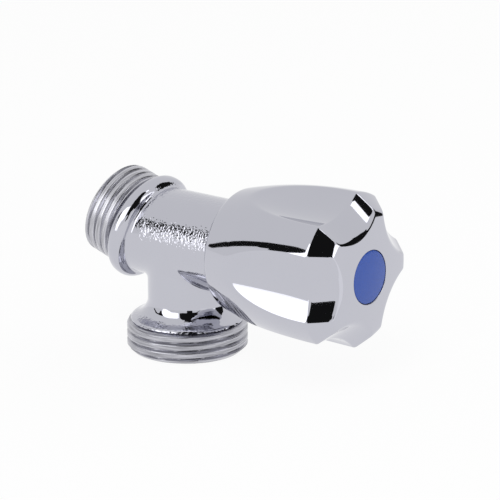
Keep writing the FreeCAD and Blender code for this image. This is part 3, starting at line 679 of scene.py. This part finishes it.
class VALVE_OT_casting(bpy.types.Operator):
    """Mesh the cast body from its distance field"""
    bl_idname = "valve.casting"
    bl_label = "Casting"

    def execute(self, context):
        sizes = pick(context, "casting")
        field = CastingField(sizes)
        voxel = sizes.voxel / MM
        low, high = (np.array(corner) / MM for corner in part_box("valve_body"))
        low, high = low - GRID_MARGIN_CELLS * voxel, high + GRID_MARGIN_CELLS * voxel
        counts = np.ceil((high - low) / voxel).astype(int)
        axes = [low[i] + voxel * np.arange(counts[i]) for i in range(3)]
        cells = np.stack(np.meshgrid(*axes, indexing="ij"), -1)
        grid = openvdb.FloatGrid()
        grid.copyFromArray(field(cells).astype(np.float32))
        points, quads = grid.convertToQuads(isovalue=0.0)
        if len(points) == 0:
            raise RuntimeError("the casting's field gave no surface")
        points = settle(low + points * voxel, field, voxel / 3)
        mesh = mesh_from("valve_casting", points * MM, quads.tolist())
        piece = new_object("valve_casting", finish_mesh(mesh))
        dress(piece, finish_for(context, "casting_chrome"))
        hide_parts("valve_body")
        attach(piece, "body")
        return {"FINISHED"}


def new_tree(name, inputs):
    """A geometry tree with a mesh in, a mesh out and the named inputs; gives their identifiers."""
    tree = bpy.data.node_groups.new(name, "GeometryNodeTree")
    tree.interface.new_socket("Geometry", in_out="INPUT", socket_type="NodeSocketGeometry")
    tree.interface.new_socket("Geometry", in_out="OUTPUT", socket_type="NodeSocketGeometry")
    identifiers = {}
    for key, kind in inputs.items():
        socket = tree.interface.new_socket(key, in_out="INPUT", socket_type=kind)
        identifiers[key] = socket.identifier
    return tree, tree.nodes.new("NodeGroupInput"), tree.nodes.new("NodeGroupOutput"), identifiers


def end_tree(tree, geometry, source, output):
    """Realize Instances and Set Material close every tree."""
    real = add_node(tree, "GeometryNodeRealizeInstances", {0: geometry})
    painted = add_node(tree, "GeometryNodeSetMaterial", {
        "Geometry": real.outputs[0], "Material": source.outputs["Material"]})
    tree.links.new(painted.outputs[0], output.inputs[0])


def thread_die_tree():
    """Cuts a helical thread into whatever stands above its form, about local Z."""
    tree, source, output, identifiers = new_tree("thread_die", {
        "Crest": "NodeSocketFloat", "Depth": "NodeSocketFloat", "Pitch": "NodeSocketFloat",
        "Groove": "NodeSocketFloat", "Material": "NodeSocketMaterial"})
    x, y, z = split_axes(tree, tree.nodes.new("GeometryNodeInputPosition").outputs[0])
    radius = from_axis(tree, x, y)
    turns = math_node(tree, "DIVIDE", math_node(tree, "ARCTAN2", y, x), 2 * math.pi)
    phase = math_node(tree, "SUBTRACT", math_node(tree, "DIVIDE", z, source.outputs["Pitch"]), turns)
    crest = source.outputs["Crest"]
    form = add_node(tree, "ShaderNodeMapRange", {
        "Value": math_node(tree, "PINGPONG", phase, 0.5),
        "From Max": math_node(tree, "MULTIPLY", source.outputs["Groove"], 0.5),
        "To Min": math_node(tree, "SUBTRACT", crest, source.outputs["Depth"]),
        "To Max": crest}, interpolation_type="SMOOTHSTEP").outputs[0]
    share = math_node(tree, "DIVIDE", math_node(tree, "MINIMUM", radius, form), radius)
    cut_x, cut_y = (math_node(tree, "MULTIPLY", part, share) for part in (x, y))
    cut = add_node(tree, "GeometryNodeSetPosition", {
        "Geometry": source.outputs[0], "Position": join_axes(tree, cut_x, cut_y, z)})
    end_tree(tree, cut.outputs[0], source, output)
    return tree, identifiers


def evaluated(piece, tree, identifiers, values):
    """The piece's mesh after the tree, as plain data, with the modifier removed."""
    modifier = piece.modifiers.new(tree.name, "NODES")
    modifier.node_group = tree
    for key, value in values.items():
        modifier[identifiers[key]] = value
    graph = bpy.context.evaluated_depsgraph_get()
    mesh = bpy.data.meshes.new_from_object(piece.evaluated_get(graph))
    piece.modifiers.remove(modifier)
    return mesh


def threaded_end(name, profile, crest, sizes, axis, material):
    """A closed ring with its thread cut by the die, placed on one of the valve's axes."""
    points = turned_points(profile, sizes.columns)
    blank = mesh_from(name, points, grid_faces(len(profile), sizes.columns, True, True))
    piece = new_object(name, blank)
    tree, identifiers = thread_die_tree()
    mesh = evaluated(piece, tree, identifiers, {
        "Crest": crest, "Depth": sizes.depth, "Pitch": sizes.pitch, "Groove": sizes.groove,
        "Material": material})
    mesh.transform(axis)
    piece.data = finish_mesh(mesh)
    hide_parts("valve_body")
    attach(piece, "body")
    return piece


class VALVE_OT_threads(bpy.types.Operator):
    """Cut both pipe threads, on the inlet and on the outlet"""
    bl_idname = "valve.threads"
    bl_label = "Threads"

    def execute(self, context):
        sizes, casting = pick(context, "threads"), pick(context, "casting")
        crest = mount_radius("inlet_thread") * MM
        bore = mount_radius("inlet_bore") * MM
        root = casting.collar_end - sizes.root_overlap
        end, chamfer = INLET_LENGTH, sizes.chamfer
        undercut_end = sizes.undercut_end - (crest - sizes.undercut) / 2
        corners = [(root, bore), (root, sizes.undercut), (undercut_end, sizes.undercut),
                   (sizes.undercut_end, crest), (end - chamfer, crest), (end, crest - chamfer),
                   (end, bore + chamfer / 2), (end - chamfer / 2, bore)]
        threaded_end("inlet_thread", self.profile(corners, sizes.row), crest, sizes, INLET,
                     finish_for(context, "inlet_chrome"))
        crest = mount_radius("outlet_thread") * MM
        mouth = mount_radius("outlet_bore") * MM
        top = sizes.outlet_length + sizes.root_overlap
        chamfer = sizes.outlet_chamfer
        corners = [(top, mouth), (0, mouth), (0, crest - chamfer), (chamfer, crest),
                   (sizes.outlet_length - chamfer / 2, crest), (top, crest - chamfer * 2)]
        threaded_end("outlet_thread", self.profile(corners, sizes.row), crest, sizes, OUTLET,
                     finish_for(context, "outlet_chrome"))
        return {"FINISHED"}

    def profile(self, corners, row):
        """The closed outline with rows short enough to carry the thread."""
        points = []
        for start, end in zip(corners, corners[1:] + corners[:1]):
            points += stretch(start, end, row)
        return points


# Points across a lobe and half a flute, and rows of points along the handle's surfaces
LOBE_POINTS = 17
FLUTE_POINTS = 20
REAR_ROWS = 9
SIDE_ROWS = 90
BAND_ROWS = 22
RIM_ROWS = 7
FACE_ROWS = 9
RECESS_ROWS = 5
CORNER_ROUNDS = 20
# How strongly the points and rows crowd towards the edges, where 1 is evenly
ACROSS_CROWDING = 1.7
SIDE_CROWDING = 1.5
BAND_CROWDING = 1.4
# Largest share of its sector that a lobe takes, a radius beyond every piece, and the distance
# at which the sectors' seams are welded, both in metres
LOBE_LIMIT = 0.97
FAR = 1.0
WELD_DISTANCE = 1e-6


class HandleForm:
    """Radius of the handle over place and angle from a lobe's middle, in metres and radians."""

    def __init__(self, sizes):
        self.sizes = sizes
        self.half_gap = math.pi / sizes.lobes

    def bell(self, place):
        s = self.sizes
        return s.radius - (s.bow - np.sqrt(s.bow ** 2 - (s.widest - place) ** 2))

    def band_share(self, place):
        """Nought at the crease and one at the rim."""
        return (place - self.sizes.crease) / (self.sizes.rim - self.sizes.crease)

    def band(self, place):
        s = self.sizes
        return self.bell(s.crease) + self.band_share(place) * (s.rim_radius - self.bell(s.crease))

    def side_flute(self, place):
        """Floor and radius of a flute on the side."""
        s = self.sizes
        rise = s.flute_bow - np.sqrt(s.flute_bow ** 2 - (place - s.flute_deepest) ** 2)
        return s.flute_floor + rise, s.flute_radius

    def band_flute(self, place):
        """Floor and radius of a flute on the band."""
        s = self.sizes
        share = self.band_share(place)
        floor = s.flute_floor + share * (s.band_rim_floor - s.flute_floor)
        return floor, s.band_crease_radius + share * (s.band_rim_radius - s.band_crease_radius)

    def hollow(self, angle, floor, radius):
        """Distance from the axis to a round hollow whose middle is half a gap away."""
        centre = floor + radius
        side = centre * np.sin(self.half_gap - np.abs(angle))
        depth = np.sqrt(np.maximum(radius ** 2 - side ** 2, 0))
        reach = centre * np.cos(self.half_gap - np.abs(angle)) - depth
        return np.where(np.abs(side) < radius, reach, FAR)

    def soft_minimum(self, a, b):
        soft = self.sizes.edge_round
        share = np.maximum(soft - np.abs(a - b), 0) / soft
        return np.minimum(a, b) - share ** 2 * soft / 4

    def radius(self, place, angle):
        side = self.soft_minimum(self.bell(place), self.hollow(angle, *self.side_flute(place)))
        band = self.soft_minimum(self.band(place), self.hollow(angle, *self.band_flute(place)))
        return self.soft_minimum(side, band)

    def lobe_edge(self, place):
        """Angle from a lobe's middle to its edge, where a flute starts."""
        if place < self.sizes.crease:
            outside, (floor, hollow) = self.bell(place), self.side_flute(place)
        else:
            outside, (floor, hollow) = self.band(place), self.band_flute(place)
        centre = floor + hollow
        cosine = (outside ** 2 + centre ** 2 - hollow ** 2) / (2 * outside * centre)
        return min(self.half_gap * LOBE_LIMIT, self.half_gap - math.acos(min(1, cosine)))

    def face(self, radius):
        """Place of the domed front face at a radius."""
        s = self.sizes
        return domed(s.rim + s.dome, s.dome, s.rim_radius, radius)


def crowded(count, ends, crowding=ACROSS_CROWDING):
    """Shares from 0 to 1 that crowd towards the last end, or towards both."""
    share = np.linspace(0, 1, count)
    if ends == 1:
        return 1 - (1 - share) ** crowding
    near, far = 0.5 * (2 * share) ** crowding, 0.5 * (2 - 2 * share) ** crowding
    return np.where(share < 0.5, near, 1 - far)


def lobe_angles(edge, half_gap):
    """Angles across one lobe and the flute halves beside it, crowded at the lobe's edges."""
    lobe = edge * (2 * crowded(LOBE_POINTS, 2) - 1)
    right = (edge + (half_gap - edge) * (1 - crowded(FLUTE_POINTS, 1))[::-1])[1:]
    return np.concatenate([-right[::-1], lobe, right])


def handle_sector(sizes):
    """Rows of (place, radius, angle) over one lobe, closed through the handle's inside."""
    form, s = HandleForm(sizes), sizes
    rows = []

    def plain(place, radius, angles):
        rows.append((np.full_like(angles, place), np.full_like(angles, radius), angles))

    rear_angles = lobe_angles(form.lobe_edge(s.rear), form.half_gap)
    start = (s.rear, s.skirt_radius)
    corner = (s.rear, float(form.bell(s.rear)))
    beyond = (s.rear + s.rear_round, float(form.bell(s.rear + s.rear_round)))
    for place, radius in rounded(start, corner, beyond, s.rear_round, REAR_ROWS):
        plain(place, radius, rear_angles)
    side_length = s.crease - s.rear - s.rear_round
    side = s.rear + s.rear_round + side_length * crowded(SIDE_ROWS, 1, SIDE_CROWDING)
    for place in side[1:]:
        angles = lobe_angles(form.lobe_edge(place), form.half_gap)
        rows.append((np.full_like(angles, place), form.radius(place, angles), angles))
    rim_angles = lobe_angles(form.lobe_edge(s.rim), form.half_gap)
    corner_place = np.full_like(rim_angles, s.rim)
    for _ in range(CORNER_ROUNDS):
        corner_place = form.face(form.radius(corner_place, rim_angles))
    band_length = corner_place - s.crease
    last = 1 - s.rim_round / band_length
    for share in crowded(BAND_ROWS, 2, BAND_CROWDING)[1:]:
        place = s.crease + band_length * last * share
        edge = form.lobe_edge(s.crease + (s.rim - s.crease) * share)
        angles = lobe_angles(edge, form.half_gap)
        rows.append((place, form.radius(place, angles), angles))
    place, radius, angles = rows[-1]
    corner_radius = form.radius(corner_place, rim_angles)
    inner_radius = corner_radius - s.rim_round
    for share in np.linspace(0, 1, RIM_ROWS)[1:]:
        rows.append((around(place, corner_place, form.face(inner_radius), share),
                     around(radius, corner_radius, inner_radius, share),
                     around(angles, rim_angles, rim_angles, share)))
    edge_radius = s.recess_radius + s.recess_round
    for share in np.linspace(0, 1, FACE_ROWS)[1:]:
        radius = inner_radius + (edge_radius - inner_radius) * share
        rows.append((form.face(radius), radius, rim_angles))
    top = float(form.face(s.recess_radius))
    inside = rounded((top, edge_radius), (top, s.recess_radius), (s.recess_floor, s.recess_radius),
                     s.recess_round, RECESS_ROWS)[1:]
    inside += [(s.recess_floor, s.recess_radius), (s.recess_floor, s.well_radius),
               (s.well_floor, s.well_radius), (s.well_floor, s.screw_hole),
               (s.socket_end, s.screw_hole), (s.socket_end, s.socket_radius),
               (s.boss_rear, s.socket_radius), (s.boss_rear, s.boss_radius),
               (s.cavity_end, s.boss_radius), (s.cavity_end, s.cavity_radius),
               (s.rear + s.cavity_taper, s.cavity_radius), (s.rear, s.skirt_radius)]
    for place, radius in inside:
        plain(place, radius, rim_angles)
    return rows


def star_tree():
    """Repeats one lobe around local Z and welds the seams."""
    tree, source, output, identifiers = new_tree("star", {
        "Lobes": "NodeSocketInt", "Weld": "NodeSocketFloat", "Material": "NodeSocketMaterial"})
    lobes = source.outputs["Lobes"]
    points = add_node(tree, "GeometryNodePoints", {"Count": lobes})
    index = tree.nodes.new("GeometryNodeInputIndex").outputs[0]
    angle = math_node(tree, "MULTIPLY", index, math_node(tree, "DIVIDE", 2 * math.pi, lobes))
    copies = add_node(tree, "GeometryNodeInstanceOnPoints", {
        "Points": points.outputs[0], "Instance": source.outputs[0],
        "Rotation": join_axes(tree, 0, 0, angle)})
    real = add_node(tree, "GeometryNodeRealizeInstances", {0: copies.outputs[0]})
    weld = add_node(tree, "GeometryNodeMergeByDistance", {
        "Geometry": real.outputs[0], "Distance": source.outputs["Weld"]})
    end_tree(tree, weld.outputs[0], source, output)
    return tree, identifiers


class VALVE_OT_handle(bpy.types.Operator):
    """Shape one lobe of the handle and repeat it around the star"""
    bl_idname = "valve.handle"
    bl_label = "Star handle"

    def execute(self, context):
        sizes = pick(context, "handle")
        rows = handle_sector(sizes)
        place, radius, angle = (np.array(part) for part in zip(*rows))
        points = np.stack([radius * np.cos(angle), radius * np.sin(angle), place], -1)
        lobe = mesh_from("star_handle", points, grid_faces(*angle.shape, True, False))
        piece = new_object("star_handle", lobe)
        tree, identifiers = star_tree()
        mesh = evaluated(piece, tree, identifiers, {
            "Lobes": sizes.lobes, "Weld": WELD_DISTANCE,
            "Material": finish_for(context, "handle_chrome")})
        mesh.transform(HEADWORK)
        piece.data = finish_mesh(mesh)
        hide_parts("handle_shell")
        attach(piece, "handle")
        return {"FINISHED"}


CROWN_ROWS = 14
CAP_EDGE_ROWS = 6
POLE_SHARE = 0.02


class VALVE_OT_cap(bpy.types.Operator):
    """Turn the blue cap with its rounded edge and spring skirt"""
    bl_idname = "valve.cap"
    bl_label = "Blue cap"

    def execute(self, context):
        s = pick(context, "cap")

        def crown(radius):
            return domed(s.centre, s.centre - s.edge, s.radius, radius)

        pole = s.radius * POLE_SHARE
        inner = s.radius - s.edge_round
        profile = [(crown(r), r) for r in np.linspace(pole, inner, CROWN_ROWS)[:-1]]
        profile += rounded((crown(inner), inner), (s.edge, s.radius), (s.floor, s.radius),
                           s.edge_round, CAP_EDGE_ROWS)
        hem, lining = s.floor - s.skirt_depth, s.skirt_radius - s.skirt_wall
        profile += [(s.floor, s.radius), (s.floor, s.skirt_radius), (hem, s.skirt_radius),
                    (hem, lining), (s.floor, lining), (s.floor, pole)]
        rows = turned_points(profile, s.columns)
        faces = grid_faces(len(profile), s.columns, False, True)
        faces.append(list(range(s.columns)))
        faces.append(list(range((len(profile) - 1) * s.columns, len(profile) * s.columns)))
        mesh = mesh_from("blue_cap", rows, faces)
        mesh.transform(HEADWORK)
        piece = new_object("blue_cap", finish_mesh(mesh))
        dress(piece, finish_for(context, "blue"))
        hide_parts("index_cap")
        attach(piece, "handle")
        return {"FINISHED"}


# Material slots whose finish goes by another name
SLOT_FINISHES = {"body_chrome": "casting_chrome", "blue_plastic": "blue"}


class VALVE_OT_headwork(bpy.types.Operator):
    """Give the headwork's pieces and the fasteners their finishes"""
    bl_idname = "valve.headwork"
    bl_label = "Headwork"

    def execute(self, context):
        for row in frame["record"]["subparts"]:
            slot = row["material_slot"]
            finish = finish_for(context, SLOT_FINISHES.get(slot, slot))
            dress(frame["nodes"][row["node"]], finish)
        return {"FINISHED"}


# Places and distances on the stage, in metres
FLOOR_DROP = 0.0001
KEY_PLACE = Vector((-0.55, -0.25, 0.75))
FILL_PLACE = Vector((0.6, -0.5, 0.45))
LAMPS_AIM = Vector((0, -0.015, 0.02))
NEAREST_SEEN = 0.01
CARD_DISTANCE = 0.9
CARD_MIDDLE = Vector((0, -0.02, 0.02))
FLOOR_GREY = (0.9, 0.9, 0.9, 1)
# Strengths of the cards, where 1 is white paper
DARK = 0.01
WINDOW = 2.2
# Cards around the valve: strength, and the outline as (azimuth, elevation) in degrees, azimuth
# from -Y towards +X
SKY_CARDS = {
    "dark_front": (DARK, (
        (-73, 16), (-75, 44), (-66, 66), (-44, 76), (-22, 72), (-6, 62), (-5, 50), (-17, 40), (-14, 28),
        (-8, 14), (-4, 3), (-16, 3), (-26, 12), (-37, 13), (-38, -1.2), (-52, -1.2), (-53, 15))),
    "window_left": (WINDOW, (
        (-125.5, -1.2), (-126, 6), (-128, 13), (-128, 26), (-125.5, 32), (-116, 43), (-96, 46),
        (-79, 44), (-77, 18), (-100, 12), (-112, -1.2))),
    "window_right": (WINDOW, (
        (0, 2), (-7, 15), (-13, 29), (-6, 33), (8, 22), (20, 14), (32, 6), (34, 1))),
    "window_top": (WINDOW, ((-4, 50), (-5, 62), (7, 62), (10, 50))),
    "dark_right": (DARK, (
        (26, 30), (34, 42), (52, 43), (60, 32), (66, 14), (66, -1.2), (36, -1.2), (34, 12))),
    "dark_left": (DARK, (
        (-159, 3), (-156, 8), (-154, 12.3), (-151.5, 16.8), (-148.5, 20.8), (-145, 24.2),
        (-142, 26.8), (-138, 29), (-135, 30.7), (-132, 32), (-128, 32), (-126.5, 29.5),
        (-128.2, 26), (-128.2, 13), (-131, 9), (-134.5, 14), (-137, 20), (-142, 19.5),
        (-145, 16.5), (-148.5, 12.5), (-152, 7.5), (-155, 3))),
}
# The same for cards that lie on the floor, with their corners in metres
FLOOR_CARDS = {
    "glow_left": (1.8, ((-0.345, 0.18), (-0.375, 0.11), (-0.82, 0.29), (-0.71, 0.52))),
    "shade_front": (DARK, ((-0.32, -0.48), (-0.42, -0.38), (-0.73, -0.58), (-0.56, -0.75))),
    "shade_right": (DARK, ((0.229, -0.333), (0.265, -0.257), (0.359, -0.20), (0.816, -0.403),
                           (0.542, -0.748))),
    "glow_front": (1.12, ((-0.03, -0.10), (0.03, -0.10), (0.10, -0.30), (-0.06, -0.30))),
}


def card(name, corners, strength):
    """A flat light or dark card that only reflections see."""
    piece = new_object(name, mesh_from(name, corners, [list(range(len(corners)))]))
    material = bpy.data.materials.new(name)
    glow = bare_tree(material, "ShaderNodeEmission")[1]
    glow.inputs["Strength"].default_value = strength
    dress(piece, material)
    for seen in ("camera", "diffuse", "shadow", "transmission"):
        setattr(piece, "visible_" + seen, False)


def heading(azimuth, elevation):
    """Direction at a bearing from -Y towards +X and a height angle, both in radians."""
    return Vector((math.sin(azimuth) * math.cos(elevation),
                   -math.cos(azimuth) * math.cos(elevation), math.sin(elevation)))


class VALVE_OT_stage(bpy.types.Operator):
    """Set the pale floor, the soft light and the camera"""
    bl_idname = "valve.stage"
    bl_label = "Stage"

    def execute(self, context):
        stage = pick(context, "stage")
        self.world(context, stage)
        self.floor(stage)
        self.lamp("key", KEY_PLACE, stage.lamp_size, stage.key_power)
        self.lamp("fill", FILL_PLACE, stage.lamp_size, stage.fill_power)
        for name, (strength, outline) in SKY_CARDS.items():
            headings = [heading(*map(math.radians, corner)) for corner in outline]
            card(name, [CARD_MIDDLE + CARD_DISTANCE * way for way in headings], strength)
        for name, (strength, outline) in FLOOR_CARDS.items():
            card(name, [(x, y, -FLOOR_DROP / 2) for x, y in outline], strength)
        self.camera(context, stage)
        context.scene.view_settings.view_transform = "Standard"
        return {"FINISHED"}

    def seen_directly(self, tree):
        """One for what the camera, a reflection or clear material sees, and nought for diffuse light."""
        path = tree.nodes.new("ShaderNodeLightPath")
        seen = math_node(tree, "MAXIMUM", path.outputs["Is Camera Ray"], path.outputs["Is Glossy Ray"])
        return math_node(tree, "MAXIMUM", seen, path.outputs["Is Transmission Ray"])

    def world(self, context, stage):
        world = bpy.data.worlds.new("studio")
        tree, glow = bare_tree(world, "ShaderNodeBackground", "ShaderNodeOutputWorld")
        glow.inputs["Color"].default_value = (1, 1, 1, 1)
        strength = math_node(tree, "MULTIPLY_ADD", self.seen_directly(tree), 1 - stage.diffuse_light,
                             stage.diffuse_light)
        mirrored = tree.nodes.new("ShaderNodeLightPath").outputs["Is Glossy Ray"]
        less = math_node(tree, "MULTIPLY", mirrored, 1 - stage.mirrored_light)
        tree.links.new(math_node(tree, "SUBTRACT", strength, less), glow.inputs["Strength"])
        context.scene.world = world

    def floor(self, stage):
        """A matt floor that takes shadows, mixed with the white that the camera sees around it."""
        size = stage.floor_size
        corners = [(x, y, -FLOOR_DROP) for x, y in ((-size, -size), (size, -size), (size, size),
                                                    (-size, size))]
        piece = new_object("floor", mesh_from("floor", corners, [[0, 1, 2, 3]]))
        material = bpy.data.materials.new("floor")
        tree, mix = bare_tree(material, "ShaderNodeMixShader")
        matt = add_node(tree, "ShaderNodeBsdfDiffuse", {"Color": FLOOR_GREY})
        glow = tree.nodes.new("ShaderNodeEmission")
        share = math_node(tree, "MULTIPLY", self.seen_directly(tree), stage.floor_light)
        for number, part in enumerate((share, matt.outputs[0], glow.outputs[0])):
            tree.links.new(part, mix.inputs[number])
        dress(piece, material)

    def lamp(self, name, place, size, power):
        """A large soft lamp that reflections don't see."""
        light = bpy.data.lights.new(name, "AREA")
        light.size = size
        light.energy = power
        lamp = bpy.data.objects.new(name, light)
        lamp.location = place
        lamp.visible_glossy = False
        lamp.rotation_euler = (LAMPS_AIM - place).to_track_quat("-Z", "Y").to_euler()
        bpy.context.scene.collection.objects.link(lamp)

    def camera(self, context, stage):
        azimuth, elevation = stage.azimuth, stage.elevation
        back = heading(azimuth, elevation)
        right = Vector((math.cos(azimuth), math.sin(azimuth), 0))
        up = back.cross(right)
        camera = bpy.data.objects.new("camera", bpy.data.cameras.new("camera"))
        camera.data.lens = stage.lens
        camera.data.clip_start = NEAREST_SEEN
        turn = Matrix((right, up, back)).transposed().to_4x4()
        camera.matrix_world = Matrix.Translation(stage.camera_place) @ turn
        bpy.context.scene.collection.objects.link(camera)
        context.scene.camera = camera


class VALVE_PT_panel(bpy.types.Panel):
    """Lists the valve's pieces in the sidebar"""
    bl_idname = "VALVE_PT_panel"
    bl_label = "Washing machine valve"
    bl_space_type = "VIEW_3D"
    bl_region_type = "UI"
    bl_category = "Valve"

    def draw(self, context):
        column = self.layout.column()
        for operator in OPERATORS:
            column.operator(operator.bl_idname)


GROUPS = {"casting": CastingSizes, "threads": ThreadSizes, "handle": HandleSizes,
          "cap": CapSizes, "finishes": Finishes, "stage": StageSettings}
OPERATORS = (VALVE_OT_headwork, VALVE_OT_casting, VALVE_OT_threads, VALVE_OT_handle,
             VALVE_OT_cap, VALVE_OT_stage)


def register():
    for name, group in GROUPS.items():
        bpy.utils.register_class(group)
        setattr(bpy.types.Scene, "valve_" + name, PointerProperty(type=group))
    for operator in OPERATORS:
        bpy.utils.register_class(operator)
    bpy.utils.register_class(VALVE_PT_panel)


def unregister():
    bpy.utils.unregister_class(VALVE_PT_panel)
    for operator in reversed(OPERATORS):
        bpy.utils.unregister_class(operator)
    for name, group in reversed(GROUPS.items()):
        delattr(bpy.types.Scene, "valve_" + name)
        bpy.utils.unregister_class(group)


def main():
    register()
    bpy.ops.valve.headwork()
    bpy.ops.valve.casting()
    bpy.ops.valve.threads()
    bpy.ops.valve.handle()
    bpy.ops.valve.cap()
    bpy.ops.valve.stage()


if __name__ == "__main__":
    main()
